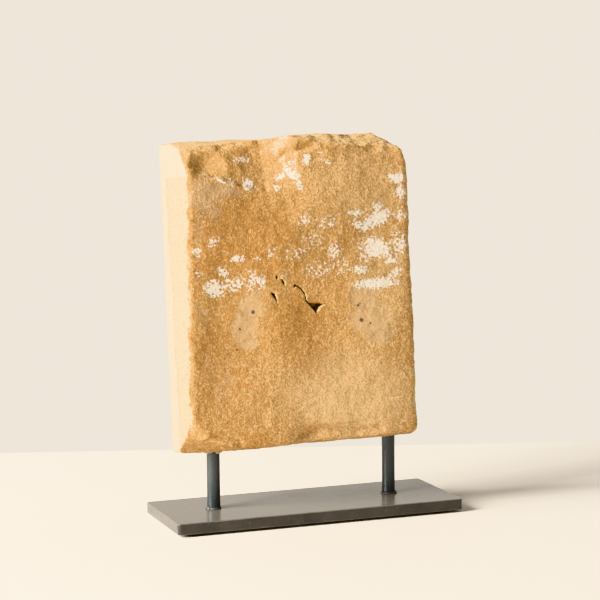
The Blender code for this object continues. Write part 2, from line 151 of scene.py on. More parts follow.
class StageSettings(bpy.types.PropertyGroup):
    """Camera, floor and light."""

    lens: FloatProperty(name="Lens", description="Focal length for a 36 mm sensor", default=120.0,
                        min=1.0, unit="CAMERA")
    yaw: FloatProperty(name="Yaw", description="How far the camera looks to the right of +Y",
                       default=math.radians(20.303), unit="ROTATION", subtype="ANGLE")
    pitch: FloatProperty(name="Pitch", description="How far the camera looks down",
                         default=math.radians(6.554), unit="ROTATION", subtype="ANGLE")
    roll: FloatProperty(name="Roll", description="Turn of the camera about its own axis",
                        default=math.radians(-0.568), unit="ROTATION", subtype="ANGLE")
    distance: length_property("Distance", "From the camera to the point it aims at", 1.7837)
    floor: colour_property("Floor", "Pale limewashed floor", "#F1ECE4")
    surround: colour_property("Surround", "Pale surround behind the floor", "#F0E8DC")
    key_power: FloatProperty(name="Key power", description="Soft lamp on the left", default=212.0,
                             min=0.0, unit="POWER")
    fill: FloatProperty(name="Fill", description="Strength of the surround's diffuse light",
                        default=0.42, min=0.0)


def only(piece):
    """Select this object and nothing else, and make it active."""
    bpy.ops.object.select_all(action="DESELECT")
    piece.select_set(True)
    bpy.context.view_layer.objects.active = piece


def named(name):
    """Name the object that an operator has just added."""
    piece = bpy.context.active_object
    piece.name = name
    piece.data.name = name
    only(piece)
    return piece


def work(piece, kind, **settings):
    """Put one modifier on a piece and apply it."""
    only(piece)
    modifier = piece.modifiers.new(kind.lower(), kind)
    for name, value in settings.items():
        setattr(modifier, name, value)
    bpy.ops.object.modifier_apply(modifier=modifier.name)


def in_edit_mode(piece, step):
    """Run one step in edit mode with everything selected."""
    only(piece)
    bpy.ops.object.mode_set(mode="EDIT")
    bpy.ops.mesh.select_all(action="SELECT")
    step(piece)
    bpy.ops.object.mode_set(mode="OBJECT")


def select_edges(piece, test):
    """In edit mode, select the edges whose two ends pass a test."""
    bpy.ops.mesh.select_mode(type="EDGE")
    bpy.ops.mesh.select_all(action="DESELECT")
    builder = bmesh.from_edit_mesh(piece.data)
    for edge in builder.edges:
        if test(*(vert.co for vert in edge.verts)):
            edge.select_set(True)
    bmesh.update_edit_mesh(piece.data)


def select_flats(piece, least):
    """In edit mode, select the faces with at least a given area."""
    bpy.ops.mesh.select_mode(type="FACE")
    bpy.ops.mesh.select_all(action="DESELECT")
    builder = bmesh.from_edit_mesh(piece.data)
    for face in builder.faces:
        if face.calc_area() > least:
            face.select_set(True)
    bmesh.update_edit_mesh(piece.data)


def settle(piece, node_name, material):
    """Fix a finished piece in the frame in place of its CAD node."""
    only(piece)
    bpy.ops.object.transform_apply(location=True, rotation=True, scale=True)
    piece.data.materials.clear()
    piece.data.materials.append(material)
    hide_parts(node_name)
    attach(piece, "root")


def add_node(tree, kind, inputs=None, **settings):
    """Add one shader node, set it, and link or fill its sockets."""
    made = tree.nodes.new(kind)
    for name, value in settings.items():
        setattr(made, name, value)
    for name, value in (inputs or {}).items():
        if isinstance(value, bpy.types.NodeSocket):
            tree.links.new(value, made.inputs[name])
        else:
            made.inputs[name].default_value = value
    return made


def new_material(name):
    """An empty node material with its shader: the material, its tree and the shader."""
    material = bpy.data.materials.new(name)
    material.use_nodes = True
    tree = material.node_tree
    return material, tree, tree.nodes["Principled BSDF"]


# Patches on the split side: middle (x, z) in mm above the plate, half-sizes, turn in degrees, amount
LIME_PATCHES = (
    (-66, 309.5, 8, 2.8, 0, 0.80),
    (-88, 292.5, 6, 1.3, -24, 0.95),
    (-78, 291, 4, 4, 0, 0.62),
    (-63, 289, 7, 5.5, -10, 0.80),
    (-26, 300.5, 3.5, 4.5, 10, 0.90),
    (-32, 294.5, 6.5, 2.4, 22, 0.90),
    (-22, 296, 7, 4.4, -35, 0.92),
    (-17, 287, 3, 7, 30, 0.85),
    (-36, 285, 4, 3, 0, 0.70),
    (-9, 309.5, 3.5, 5.5, -35, 1.00),
    (-22, 306, 4, 2.5, 0, 0.72),
    (4, 315, 3, 1.2, 0, 0.85),
    (8, 306.5, 7, 1.6, -22, 0.80),
    (75, 290, 8, 5, -15, 0.95),
    (79, 278, 6, 8, 20, 0.78),
    (57, 266, 6, 5, 0, 0.85),
    (57, 255, 14, 7, 18, 1.05),
    (42, 249, 10, 4.5, -20, 0.95),
    (36, 261, 9, 4, 0, 0.70),
    (80, 258, 6, 8, 0, 0.62),
    (75, 243, 5, 6, 0, 0.55),
    (57, 229, 17, 9, -12, 0.98),
    (46, 221, 9, 5, 0, 0.62),
    (78, 231, 9, 11, 10, 0.72),
    (70, 218, 10, 4, 14, 0.75),
    (40, 211, 9, 4, -8, 0.85),
    (55, 198, 21, 5, 0, 1.05),
    (73, 205, 8, 5, 42, 0.85),
    (16, 228, 7, 9, 0, 0.66),
    (-4, 238, 10, 10, 0, 0.50),
    (-12, 256, 6, 6, 30, 0.68),
    (8, 255, 12, 7, 0, 0.50),
    (-20, 228, 12, 6, 0, 0.48),
    (0, 212, 15, 9, 0, 0.52),
    (22, 214, 10, 10, 0, 0.48),
    (-95, 241, 6, 4.5, 28, 0.72),
    (-109, 232, 5, 5, 0, 0.68),
    (-73, 225, 7, 3.2, 5, 0.80),
    (-56, 224.5, 5, 2.5, 0, 0.66),
    (-42, 229, 6, 3.5, 25, 0.66),
    (-86, 214, 6, 5, -25, 0.85),
    (-94, 200, 10, 8, -15, 0.95),
    (-76, 203, 10, 8, 0, 0.72),
    (-60, 204, 9, 10, 0, 0.62),
    (-52, 203, 6, 8, 0, 0.74),
    (-108, 213, 5, 5, 0, 0.52),
    (-32, 207, 5, 5, 0, 0.52),
)
PUTTY_PATCHES = (
    (-60, 184, 11, 12, -20, 1.0),
    (-66, 166, 13, 14, 10, 1.0),
    (-62, 150, 9, 6, 0, 0.8),
    (-104, 174, 6, 12, 0, 0.6),
    (44, 186, 15, 12, 0, 1.0),
    (50, 166, 19, 16, -12, 1.0),
    (58, 150, 13, 8, 0, 0.8),
    (-100, 132, 7, 12, 0, 0.5),
    (-88, 118, 12, 20, 0, 0.4),
)
# Grey weathering; the patches at the top left and the one at (-26, 304) also paint the shade of the spall
# recess
PATINA_AND_SHADE_PATCHES = (
    (-104, 281, 12, 17, 0, 1.0),
    (-88, 284, 20, 7, -8, 1.0),
    (-96, 270, 10, 12, 20, 0.8),
    (-108, 250, 5, 16, 0, 0.7),
    (-90, 108, 14, 26, 0, 0.45),
    (-70, 90, 20, 16, 0, 0.35),
    (-26, 304, 10, 4, -20, 0.6),
    (-40, 84, 14, 14, 0, 0.4),
    (76, 96, 14, 30, 0, 0.5),
    (30, 316, 16, 6, -20, 0.5),
    (68, 306, 12, 8, 0, 0.4),
)
STAIN_PATCHES = (
    (-70, 236, 56, 40, 0, 1.0),
    (-80, 130, 40, 60, 0, 0.7),
    (-16, 158, 26, 44, 6, 1.0),
    (-34, 262, 24, 30, 0, 0.5),
    (-88, 262, 16, 24, 10, 0.5),
    (-62, 64, 26, 7, 12, 1.0),
    (-4, 70, 14, 9, 30, 0.6),
    (12, 266, 10, 26, 0, 0.5),
)
SPOT_PATCHES = (
    (38, 179.5, 1.6, 1.6, 0, 1.0),
    (39.8, 181, 1.0, 1.0, 0, 1.0),
    (41, 166, 2.2, 2.2, 0, 1.0),
    (49.5, 163, 1.4, 1.3, 0, 0.9),
    (55, 181, 1.1, 1.0, 0, 0.7),
    (-59, 178, 2.0, 2.2, 0, 1.0),
    (-59.5, 173, 1.2, 1.2, 0, 0.7),
    (-71, 163.5, 2.0, 1.1, -50, 1.0),
    (-74, 145.5, 1.7, 1.3, 0, 1.0),
    (-71, 146, 1.1, 1.1, 0, 0.7),
    (-64, 145.5, 2.4, 1.0, 50, 0.7),
    (-83, 142, 2.0, 2.0, 0, 0.5),
    (60, 127, 1.6, 1.6, 0, 0.7),
    (62, 123.5, 1.4, 1.2, 0, 0.6),
    (15, 286.5, 0.9, 0.9, 0, 0.9),
    (42, 245, 0.9, 1.6, -30, 0.8),
    (-84, 269, 0.9, 0.9, 0, 0.8),
)
SCRATCH_PATCHES = (
    (73, 94.5, 9.5, 0.8, 1, 1.0),
    (40, 88, 5, 0.8, -8, 0.7),
    (48, 83, 4, 0.8, -10, 0.5),
    (64, 300, 0.9, 7, 2, 0.6),
)
BLEACH_PATCHES = (
    (30, 100, 70, 46, -8, 1.0),
    (-70, 110, 30, 40, 12, 0.4),
    (60, 190, 30, 60, 0, 0.72),
    (42, 283, 62, 36, 0, 0.68),
)

# Holes in the split side and the crack that joins two of them: outlines (x, z) in mm from the
# middle of that side, which is given in mm as x and height above the plate
HOLE_ORIGIN = (-14.75, 193.25)
HOLE_OUTLINES = (
    ((-23.6, 14.2), (-22.5, 15.9), (-21.5, 14.1), (-22.6, 12.3)),
    ((-19.0, 12.2), (-16.6, 11.2), (-15.2, 8.9), (-15.6, 6.2), (-16.8, 8.7)),
    ((-7.2, 4.5), (-6.7, 6.3), (-5.2, 6.9), (-2.4, 4.4), (-4.8, 5.1)),
    ((7.3, -10.0), (14.5, -11.2), (21.8, -11.4), (17.0, -14.6), (14.2, -18.8), (10.4, -14.0)),
    ((-27.7, 0.3), (-25.6, 0.1), (-23.9, -1.0), (-22.6, -5.0), (-21.8, -9.4), (-24.9, -4.0)),
)
CRACK_OUTLINE = ((-2.6, 5.0), (1.2, 2.3), (3.8, -1.5), (4.7, -6.2), (8.4, -10.6), (7.4, -11.3),
                 (3.6, -6.8), (2.7, -1.9), (0.3, 1.5), (-3.0, 4.1))

# Where the holes end, the half-size in mm of the area they lie in, how far their cutter stands out
# of the slab, its size there and at its end in shares of the outline, and the sway of the rims in mm
HOLE_END = -27.5 * MM
HOLE_REACH = (30, 22)
CUTTER_FRONT = 5 * MM
CUTTER_SHARES = (1.55, 0.85)
RIM_SWAY = 0.35

# The points that cutting leaves close together are merged at the first distance that closes the skin
CLOSE_POINTS = (0.10 * MM, 0.14 * MM, 0.18 * MM)

# Ledges of the breaks: a line of (x, z) in mm as above, how far the skin beyond it stands back and
# how far up it comes forward again, or how far down where that is negative. A ledge steps back over
# its lip and fades over its ends
LEDGES = (
    (((-122, 304), (-100, 298), (-93, 295), (-83, 293), (-67, 286), (-52, 283), (-44, 282)), 2.5, 22.0),
    (((-34, 306), (-26, 311), (-11, 316), (0, 318)), 2.6, 9.0),
    (((18, 322), (31, 324), (47, 315), (60, 313)), 2.0, 10.0),
    (((-104, 69), (-95, 75), (-80, 73), (-70, 66)), 2.6, -14.0),
    (((-24, 66), (-7, 73), (4, 76), (41, 71), (62, 71)), 3.0, -12.0),
)
LEDGE_LIP, LEDGE_END = 1.6, 3

# Mean depth and height in mm of the crumbled crest, and where its scoops start and are full, from
# the slab's top. All of it fades out towards the carved side at FADE_Y
CREST_DEPTH, CREST_HEIGHT = 5.0, 9.0
CREST_STEP = 3.0
CREST_FROM, CREST_FULL = 30 * MM, 8 * MM
FADE_Y = 10 * MM

# Waves that keep a break or a line uneven: height and length in mm, and start
CREST_DEPTH_WAVES = ((2.2, 6.1, 0.6), (1.3, 2.7, 0.0))
CREST_HEIGHT_WAVES = ((2.5, 8.3, 0.0),)
LEDGE_WAVES = ((0.7, 1.9, 0.0),)
STRIP_WAVES = ((1.6, 5.3, 0.0), (1.1, 2.1, 1.0))

# Front line of the smooth strip on the sides, at heights above the plate, in mm. On the left it
# comes forward over the whole side by STRIP_WIDER, between two heights
STRIP_HEIGHTS, STRIP_LINE = (60, 180, 290), (-5, 8, 19)
STRIP_WIDER, WIDER_FROM, WIDER_FULL = 79, 290, 300

# The recess lies inside these margins of the slab, and in front of its floor
RECESS_SIDE, RECESS_BELOW, RECESS_ABOVE = 22 * MM, 26 * MM, 20 * MM
RECESS_FLOOR = -12 * MM

# Upright arrises of the split side: the bands that find the slab's ends, how far in and how far
# back the chipping reaches, where that starts, and its share on the left and the right
ARRIS_BAND, ARRIS_WIDTH, ARRIS_DEPTH = 4 * MM, 7 * MM, 9 * MM
ARRIS_Y = -35 * MM
ARRIS_SHARES = ((-1, 1.0), (1, 0.6))


def soft_step(low, high, values):
    """A smooth step from 0 at low to 1 at high."""
    shares = np.clip((values - low) / (high - low), 0.0, 1.0)
    return shares * shares * (3.0 - 2.0 * shares)


def patch_cover(points, patches, softness):
    """How thickly a finish lies at each point of the split side, from a list of patches."""
    cover = np.zeros(len(points))
    across = points[:, 0] / MM
    up = (points[:, 2] - PLATE_TOP) / MM
    for middle_x, middle_z, half_x, half_z, turn, amount in patches:
        cosine, sine = math.cos(math.radians(turn)), math.sin(math.radians(turn))
        away_x, away_z = across - middle_x, up - middle_z
        along = (away_x * cosine + away_z * sine) / half_x
        aside = (away_z * cosine - away_x * sine) / half_z
        distance = np.sqrt(along * along + aside * aside)
        cover = np.maximum(cover, amount * (1.0 - soft_step(1.0 - softness, 1.0 + softness, distance)))
    return cover


def mesh_points(piece):
    """Places and outward directions of a mesh's vertices."""
    count = len(piece.data.vertices)
    points = np.zeros(count * 3, np.float32)
    normals = np.zeros(count * 3, np.float32)
    piece.data.vertices.foreach_get("co", points)
    piece.data.vertex_normals.foreach_get("vector", normals)
    return points.reshape(-1, 3).astype(float), normals.reshape(-1, 3).astype(float)


def write_attribute(piece, name, values):
    """Store one number for each vertex."""
    attribute = piece.data.attributes.new(name, "FLOAT", "POINT")
    attribute.data.foreach_set("value", values.astype(np.float32))


def write_group(piece, name, weights):
    """Store weights as a vertex group, in even steps."""
    group = piece.vertex_groups.new(name=name)
    steps = np.round(weights * WEIGHT_STEPS).astype(int)
    for step in range(1, WEIGHT_STEPS + 1):
        group.add(np.flatnonzero(steps == step).tolist(), step / WEIGHT_STEPS, "REPLACE")


def texture(name, kind, size, **settings):
    """A solid noise for the Displace modifier, with features of the given size."""
    made = bpy.data.textures.new(name, kind)
    made.noise_scale = size
    for key, value in settings.items():
        setattr(made, key, value)
    return made


def wavy(values, along, waves):
    """Values with waves added to them along a length."""
    for height, length, start in waves:
        values = values + height * np.sin(along / length + start)
    return values


def smooth_strip(points, softness):
    """Share of the smooth strip beside the carved face, behind its wavy line on the sides."""
    heights = (points[:, 2] - PLATE_TOP) / MM
    line = np.interp(heights, STRIP_HEIGHTS, STRIP_LINE)
    line -= STRIP_WIDER * soft_step(WIDER_FROM, WIDER_FULL, heights) * (points[:, 0] < 0.0)
    line += wavy(0.0, heights, STRIP_WAVES)
    return soft_step(-softness, softness, points[:, 1] - line * MM)


def zones(piece):
    """Shares of the slab's skin that are carved or split, from place and direction."""
    points, normals = mesh_points(piece)
    carved = soft_step(0.0, 1.0 * MM, points[:, 1] - (CARVED_Y - 1.5 * MM))
    inside = points[:, 1] > RECESS_FLOOR
    inside &= (points[:, 0] > STONE_LOW.x + RECESS_SIDE) & (points[:, 0] < STONE_HIGH.x - RECESS_SIDE)
    inside &= (points[:, 2] > STONE_LOW.z + RECESS_BELOW) & (points[:, 2] < STONE_HIGH.z - RECESS_ABOVE)
    carved = np.maximum(carved, inside.astype(float))
    split = soft_step(0.35, 0.75, -normals[:, 1]) * (1.0 - carved)
    return points, normals, carved, split


def set_back(stone):
    """Move the skin in where the crest has crumbled and along the ledges of the breaks."""
    points, _, carved, _ = zones(stone)
    across = points[:, 0] / MM
    up = (points[:, 2] - PLATE_TOP) / MM
    places = np.arange(across.min(), across.max(), CREST_STEP)
    tops = [up[np.abs(across - place) < CREST_STEP].max() for place in places]
    below = np.interp(across, places, tops) - up
    crumbled = wavy(CREST_DEPTH, across, CREST_DEPTH_WAVES)
    inward = crumbled * (1.0 - soft_step(0.0, 1.0, below / wavy(CREST_HEIGHT, across, CREST_HEIGHT_WAVES)))
    for line, drop, run in LEDGES:
        line_x, line_z = zip(*line)
        over = wavy(up - np.interp(across, line_x, line_z), across, LEDGE_WAVES)
        over *= math.copysign(1.0, run)
        ends = soft_step(line_x[0] - LEDGE_END, line_x[0] + LEDGE_END, across)
        ends *= 1.0 - soft_step(line_x[-1] - LEDGE_END, line_x[-1] + LEDGE_END, across)
        inward += drop * ends * soft_step(0.0, LEDGE_LIP, over) * (1.0 - soft_step(LEDGE_LIP, abs(run), over))
    deep = np.clip((FADE_Y - points[:, 1]) / (FADE_Y - STONE_LOW.y), 0.0, 1.0)
    points[:, 1] += inward * deep * (carved < 0.5) * MM
    stone.data.vertices.foreach_set("co", points.astype(np.float32).ravel())
    stone.data.update()


def arrises(points):
    """How near each point is to the upright arrises of the split side: full on the left, less right."""
    heights = np.arange(STONE_LOW.z, STONE_HIGH.z, ARRIS_BAND)
    bands = [np.abs(points[:, 2] - height) < ARRIS_BAND for height in heights]
    behind = np.clip(1.0 - (points[:, 1] - ARRIS_Y) / ARRIS_DEPTH, 0.0, 1.0)
    near = np.zeros(len(points))
    for outward, most in ARRIS_SHARES:
        ends = [(outward * points[band, 0]).max() for band in bands]
        beside = (np.interp(points[:, 2], heights, ends) - outward * points[:, 0]) / ARRIS_WIDTH
        near = np.maximum(near, most * np.clip(1.0 - beside, 0.0, 1.0) * behind)
    return near


def rough_out(stone, settings):
    """Give the welded copy of the slab a fine even mesh and its relief."""
    work(stone, "REMESH", mode="VOXEL", voxel_size=settings.mesh_spacing)
    set_back(stone)
    points, _, carved, split = zones(stone)
    dressed = np.clip(1.0 - carved - split, 0.0, 1.0) * (1.0 - 0.85 * smooth_strip(points, 0.8 * MM))
    chipped = arrises(points) * (1.0 - carved)
    crest = soft_step(STONE_HIGH.z - CREST_FROM, STONE_HIGH.z - CREST_FULL, points[:, 2]) * (1.0 - carved)
    crest *= 1.0 - np.clip(2.0 * chipped, 0.0, 1.0)
    for name, weights in (("carved", carved), ("split", split), ("dressed", dressed),
                          ("rough", np.clip(split + dressed, 0.0, 1.0)),
                          ("crest", crest * np.clip(split + 0.6 * dressed, 0.0, 1.0)), ("arris", chipped)):
        write_group(stone, name, weights)
    work(stone, "SMOOTH", factor=0.5, iterations=5, vertex_group="rough")

    # The relief: name, kind of noise, its size, its height, the level that stays, where, more settings
    for name, kind, size, height, middle, group, more in (
            ("scoops", "CLOUDS", 12 * MM, 1.8 * MM, 1.0, "crest", {"noise_depth": 1}),
            ("broken_arris", "VORONOI", 8 * MM, 2.4 * MM, 1.0, "arris", {}),
            ("chips", "VORONOI", settings.chip_size, settings.chip_height, 0.5, "split", {}),
            ("lumps", "CLOUDS", settings.grain_size, settings.grain_height, 0.5, "split",
             {"noise_depth": 2, "noise_type": "HARD_NOISE"}),
            ("marks", "CLOUDS", settings.dressed_size, 2.4 * settings.dressed_height, 0.5, "dressed",
             {"noise_depth": 3}),
            ("tooling", "CLOUDS", 3 * MM, settings.carved_height, 0.5, "carved", {"noise_depth": 2})):
        work(stone, "DISPLACE", texture=texture(name, kind, size, **more), texture_coords="LOCAL",
             strength=height, mid_level=middle, vertex_group=group)
    stone.vertex_groups.clear()


def thin_out(stone, settings):
    """Drop triangles where the skin is flat, down to the wanted count."""
    stone.data.calc_loop_triangles()
    share = settings.face_count / len(stone.data.loop_triangles)
    if share < 1.0:
        work(stone, "DECIMATE", decimate_type="COLLAPSE", ratio=share)


def open_hole(stone, outline):
    """Cut one hole with ragged walls that narrow inwards."""
    middle = [sum(values) / len(outline) for values in zip(*outline)]
    rim = []
    for number, (x, z) in enumerate(outline):
        after_x, after_z = outline[(number + 1) % len(outline)]
        sway = RIM_SWAY * math.sin(7.1 * x + 3.3 * z)
        rim += [(x, z), ((x + after_x) / 2 + sway, (z + after_z) / 2 - sway)]
    builder = bmesh.new()
    rings = []
    for depth, share in zip((STONE_LOW.y - CUTTER_FRONT, HOLE_END), CUTTER_SHARES):
        places = [(HOLE_ORIGIN[0] + middle[0] + (x - middle[0]) * share,
                   HOLE_ORIGIN[1] + middle[1] + (z - middle[1]) * share) for x, z in rim]
        rings.append([builder.verts.new((x * MM, depth, PLATE_TOP + z * MM)) for x, z in places])
    for step in range(len(rim)):
        after = (step + 1) % len(rim)
        builder.faces.new((rings[0][step], rings[0][after], rings[1][after], rings[1][step]))
    builder.faces.new(rings[0])
    builder.faces.new(rings[1])
    bmesh.ops.recalc_face_normals(builder, faces=builder.faces)
    mesh = bpy.data.meshes.new("hole_cutter")
    builder.to_mesh(mesh)
    builder.free()
    cutter = bpy.data.objects.new("hole_cutter", mesh)
    bpy.context.scene.collection.objects.link(cutter)
    work(stone, "BOOLEAN", object=cutter, operation="DIFFERENCE", solver="EXACT")
    bpy.data.objects.remove(cutter, do_unlink=True)


def close_skin(stone):
    """Merge the points that cutting leaves close together, then split the skin into triangles.

    Two many-sided faces that share a run of close points could otherwise be split along the same line.
    """
    for apart in CLOSE_POINTS:
        builder = bmesh.new()
        builder.from_mesh(stone.data)
        bmesh.ops.remove_doubles(builder, verts=builder.verts, dist=apart)
        bmesh.ops.dissolve_degenerate(builder, edges=builder.edges, dist=apart)
        bmesh.ops.triangulate(builder, faces=builder.faces)
        closed = all(len(edge.link_faces) == 2 for edge in builder.edges)
        if closed:
            builder.to_mesh(stone.data)
        builder.free()
        if closed:
            return
    print("carved_stone keeps a doubled edge beside its holes")


def keep_inside(stone):
    """Hold every vertex inside the frame's own box."""
    points, _ = mesh_points(stone)
    points = np.clip(points, np.array(CAD_BOX[0]), np.array(CAD_BOX[1]))
    stone.data.vertices.foreach_set("co", points.astype(np.float32).ravel())
    stone.data.update()


def mark_finishes(stone):
    """Write where limewash, mortar, grey weathering, stains and the painted shade in the spall and on the
    hole floors lie: -1 where one of them can't.
    """
    points, normals, carved, split = zones(stone)
    facing = -normals[:, 1] > 0.15
    facing &= carved < 0.5
    for name, patches, softness in (("lime", LIME_PATCHES, 0.75), ("putty", PUTTY_PATCHES, 0.6),
                                    ("patina_and_shade", PATINA_AND_SHADE_PATCHES, 0.6), ("stain", STAIN_PATCHES, 0.7),
                                    ("bleach", BLEACH_PATCHES, 0.8), ("spots", SPOT_PATCHES, 0.5),
                                    ("scratch", SCRATCH_PATCHES, 0.3)):
        cover = patch_cover(points, patches, softness)
        write_attribute(stone, name, np.where((cover > 0) & facing, cover, -1.0))
    # The sides and the faces turned up are painted paler: partly their dressed finish, partly a painted
    # highlight for the light from the left and from above
    side = soft_step(0.3, 0.8, np.abs(normals[:, 0])) * (1.0 - carved)
    top = 0.5 * soft_step(0.5, 0.85, normals[:, 2]) * (1.0 - carved)
    strip = smooth_strip(points, 6 * MM)
    write_attribute(stone, "rough_side_and_highlight", np.maximum(side * (1.0 - strip), top))
    write_attribute(stone, "pale_side_and_highlight", np.maximum(side * strip, 0.8 * carved))
    # Painted shade: the floors of the holes are marked to be painted dark, as the shade deep in them
    across = np.abs(points[:, 0] / MM - HOLE_ORIGIN[0]) < HOLE_REACH[0]
    up = np.abs((points[:, 2] - PLATE_TOP) / MM - HOLE_ORIGIN[1]) < HOLE_REACH[1]
    pit = across & up & (np.abs(points[:, 1] - HOLE_END) < 0.05 * MM)
    write_attribute(stone, "hole_floor_shade", pit.astype(float))


def sandstone(settings):
    """Fine ochre sandstone, split by hammer and dressed on its sides, with old limewash.

    Dead matt, with pale quartz grains, darker iron beds and flakes of lime that stand a little proud.
    """
    material, tree, shader = new_material("split_sandstone")
    place = add_node(tree, "ShaderNodeTexCoord").outputs["Object"]
    noises = {}
    for name, size, detail in (("broad", 60 * MM, 2.0), ("mottle", 13 * MM, 4.0), ("lumps", 2.5 * MM, 4.0),
                               ("grains", 1.5 * MM, 2.0), ("flakes", 2.1 * MM, 4.0)):
        noises[name] = add_node(tree, "ShaderNodeTexNoise", {
            "Vector": place, "Scale": 1.0 / size, "Detail": detail, "Roughness": 0.6}).outputs["Fac"]

    # The stone's own tones: noise, where its share starts and is full, most of it, colour
    colour = tuple(settings.stone)
    for name, low, high, most, tone in (
            ("broad", 0.60, 0.36, 0.22, settings.stone_deep),
            ("mottle", 0.60, 0.36, 0.34, settings.stone_deep),
            ("lumps", 0.52, 0.34, 0.26, settings.stone_deep),
            ("lumps", 0.52, 0.70, 0.30, settings.stone_light),
            ("grains", 0.50, 0.68, 0.46, settings.stone_light)):
        share = add_node(tree, "ShaderNodeMapRange", {
            "Value": noises[name], "From Min": low, "From Max": high, "To Max": most},
            interpolation_type="SMOOTHSTEP")
        colour = add_node(tree, "ShaderNodeMix", {
            0: share.outputs["Result"], MIX_A: colour, MIX_B: tuple(tone)},
            data_type="RGBA").outputs[MIX_OUT]

    # What lies on it, with the painted shade in the spall and the holes and the painted highlight on the
    # sides and
    # top: attribute, the noise that breaks it up and how much, where its share starts and is full, most of
    # it, colour
    covers = {}
    for name, noise, ragged, low, high, most, tone in (
            ("bleach", "grains", 2.0, 1.05, 2.30, 0.62, settings.stone_light),
            ("stain", "mottle", 1.2, 0.80, 1.60, 0.40, settings.stain),
            # grey weathering, and painted shade in the spall at the top left
            ("patina_and_shade", "lumps", 1.2, 0.85, 1.60, 0.62, settings.patina_and_shade),
            ("putty", "mottle", 1.8, 1.10, 1.80, 0.75, settings.putty),
            # paler sides and top: dressed finish and painted highlight
            ("rough_side_and_highlight", "lumps", 3.0, 1.50, 2.90, 0.92, settings.rough_side_and_highlight),
            ("pale_side_and_highlight", "grains", 1.6, 0.80, 2.10, 0.80, settings.pale_side_and_highlight),
            ("scratch", "grains", 0.6, 0.60, 1.00, 0.70, settings.stone_light),
            ("lime", "flakes", 3.0, 2.02, 2.26, 0.96, settings.lime),
            ("spots", "grains", 0.8, 0.80, 1.25, 0.85, settings.spot),
            # painted shade on the hole floors
            ("hole_floor_shade", "grains", 0.1, 0.10, 0.45, 1.00, settings.hole_floor_shade)):
        painted = add_node(tree, "ShaderNodeAttribute", attribute_name=name).outputs["Fac"]
        broken = add_node(tree, "ShaderNodeMath", {0: noises[noise], 1: ragged, 2: painted},
                          operation="MULTIPLY_ADD").outputs[0]
        covers[name] = add_node(tree, "ShaderNodeMapRange", {
            "Value": broken, "From Min": low, "From Max": high, "To Max": most},
            interpolation_type="SMOOTHSTEP").outputs["Result"]
        colour = add_node(tree, "ShaderNodeMix", {0: covers[name], MIX_A: colour, MIX_B: tuple(tone)},
                          data_type="RGBA").outputs[MIX_OUT]
    tree.links.new(colour, shader.inputs["Base Color"])
    shader.inputs["Roughness"].default_value = 0.92
    shader.inputs["Specular IOR Level"].default_value = 0.2

    # The skin: lumps and grains, filled by mortar and raised by lime
    height = add_node(tree, "ShaderNodeMath", {0: noises["lumps"], 1: noises["grains"]}, operation="ADD")
    filled = add_node(tree, "ShaderNodeMapRange", {
        "Value": covers["putty"], "From Max": 0.75, "To Min": 1.0, "To Max": 0.35})
    height = add_node(tree, "ShaderNodeMath", {0: height.outputs[0], 1: filled.outputs["Result"]},
                      operation="MULTIPLY")
    height = add_node(tree, "ShaderNodeMath", {0: covers["lime"], 1: 0.30, 2: height.outputs[0]},
                      operation="MULTIPLY_ADD")
    bump = add_node(tree, "ShaderNodeBump", {
        "Height": height.outputs[0], "Strength": 1.0, "Distance": 0.60 * MM})
    tree.links.new(bump.outputs["Normal"], shader.inputs["Normal"])
    return material


class NICHE_OT_carved_stone(bpy.types.Operator):
    """Model the sandstone slab with its split side and its carved niche."""

    bl_idname = "niche.carved_stone"
    bl_label = "Carved stone"

    def execute(self, context):
        settings = context.scene.niche_stone
        stone = bpy.data.objects.new("carved_stone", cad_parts["niche_stone"].data.copy())
        context.scene.collection.objects.link(stone)
        in_edit_mode(stone, lambda _: bpy.ops.mesh.remove_doubles(threshold=0.01 * MM))
        rough_out(stone, settings)
        thin_out(stone, settings)
        for outline in (*HOLE_OUTLINES, CRACK_OUTLINE):
            open_hole(stone, outline)
        close_skin(stone)
        keep_inside(stone)
        mark_finishes(stone)
        only(stone)
        bpy.ops.object.shade_smooth()
        settle(stone, "niche_stone", sandstone(settings))
        return {"FINISHED"}


# The plate's flat faces are larger than this, and every face of its rounded edges is smaller. A
# narrow border keeps the light even on them
FLAT_AREA = 700 * MM ** 2
FLAT_BORDER = 0.4 * MM

# The bars: bevel of their ends, rings along them, plain length at each end, how uneven and how often
BAR_BEVEL, BAR_RINGS, BAR_PLAIN = 0.5 * MM, 40, 5 * MM
BAR_UNEVEN, BAR_UNEVEN_SIZE = 0.12 * MM, 9 * MM


